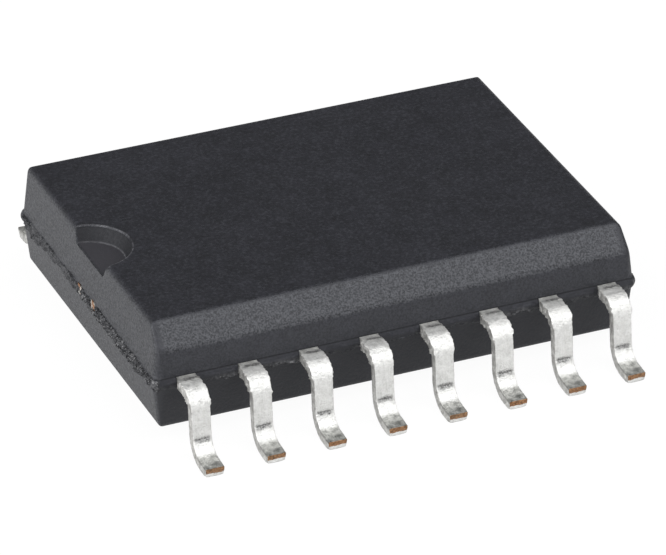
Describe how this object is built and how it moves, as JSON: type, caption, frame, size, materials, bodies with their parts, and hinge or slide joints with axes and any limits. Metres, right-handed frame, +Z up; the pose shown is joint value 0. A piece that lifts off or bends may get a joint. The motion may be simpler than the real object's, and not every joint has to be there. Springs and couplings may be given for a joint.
{
  "type": "small outline integrated circuit",
  "caption": "Rectangular black moulded chip package, bevelled along one side and notched at one end, with two rows of bright gull-wing leads.",
  "frame": {"origin": "centre of the package on the board, at the height of the toes", "axes": "+X along the body away from the notched end, +Z up out of the board, and lead 1 at the notched end of the -Y row, so that the bevelled side faces -Y"},
  "size_m": [0.0104, 0.0104, 0.0025],
  "materials": {
    "epoxy": "matt black moulding compound with a fine spark-eroded grain",
    "tinned_lead": "matt electroplated tin over copper",
    "strip_copper": "bare rolled copper alloy strip",
    "die_attach": "cured silver-filled epoxy",
    "silicon": "polished silicon",
    "bond_wire": "drawn gold wire"
  },
  "bodies": {
    "root": {"mould_body": "epoxy", "lead_1": "tinned_lead", "lead_2": "tinned_lead", "lead_3": "tinned_lead", "lead_4": "tinned_lead", "lead_5": "tinned_lead", "lead_6": "tinned_lead", "lead_7": "tinned_lead", "lead_8": "tinned_lead", "lead_9": "tinned_lead", "lead_10": "tinned_lead", "lead_11": "tinned_lead", "lead_12": "tinned_lead", "lead_13": "tinned_lead", "lead_14": "tinned_lead", "lead_15": "tinned_lead", "lead_16": "tinned_lead", "die_paddle": "strip_copper", "die_attach": "die_attach", "silicon_die": "silicon", "bond_wire_1": "bond_wire", "bond_wire_2": "bond_wire", "bond_wire_3": "bond_wire", "bond_wire_4": "bond_wire", "bond_wire_5": "bond_wire", "bond_wire_6": "bond_wire", "bond_wire_7": "bond_wire", "bond_wire_8": "bond_wire", "bond_wire_9": "bond_wire", "bond_wire_10": "bond_wire", "bond_wire_11": "bond_wire", "bond_wire_12": "bond_wire", "bond_wire_13": "bond_wire", "bond_wire_14": "bond_wire", "bond_wire_15": "bond_wire", "bond_wire_16": "bond_wire"}
  },
  "joints": []
}
